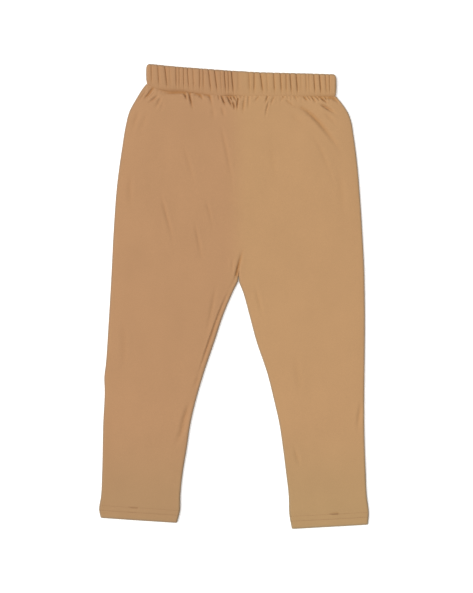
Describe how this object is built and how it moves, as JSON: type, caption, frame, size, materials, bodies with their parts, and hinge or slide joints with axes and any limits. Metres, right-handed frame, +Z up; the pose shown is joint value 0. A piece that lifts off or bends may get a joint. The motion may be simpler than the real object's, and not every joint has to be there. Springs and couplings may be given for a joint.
{
  "type": "child's pull-on jersey leggings",
  "caption": "child's pull-on jersey leggings lying flat, with a gathered elastic waistband and turned-up hems",
  "frame": {"origin": "on the surface that the leggings lie on, under the middle of their outline", "axes": "+Y runs from the hems to the waist, +Z up from the surface to the front of the garment, +X to the wearer's left side"},
  "size_m": [0.3105, 0.5348, 0.0069],
  "materials": {
    "jersey_right": "matte cotton jersey, tan",
    "jersey_left": "matte cotton jersey, tan",
    "jersey_waistband": "matte cotton jersey, tan, gathered on elastic",
    "thread": "matte sewing thread, tan"
  },
  "bodies": {
    "root": {"leg_right": "jersey_right", "leg_left": "jersey_left", "waistband": "jersey_waistband"}
  },
  "joints": []
}
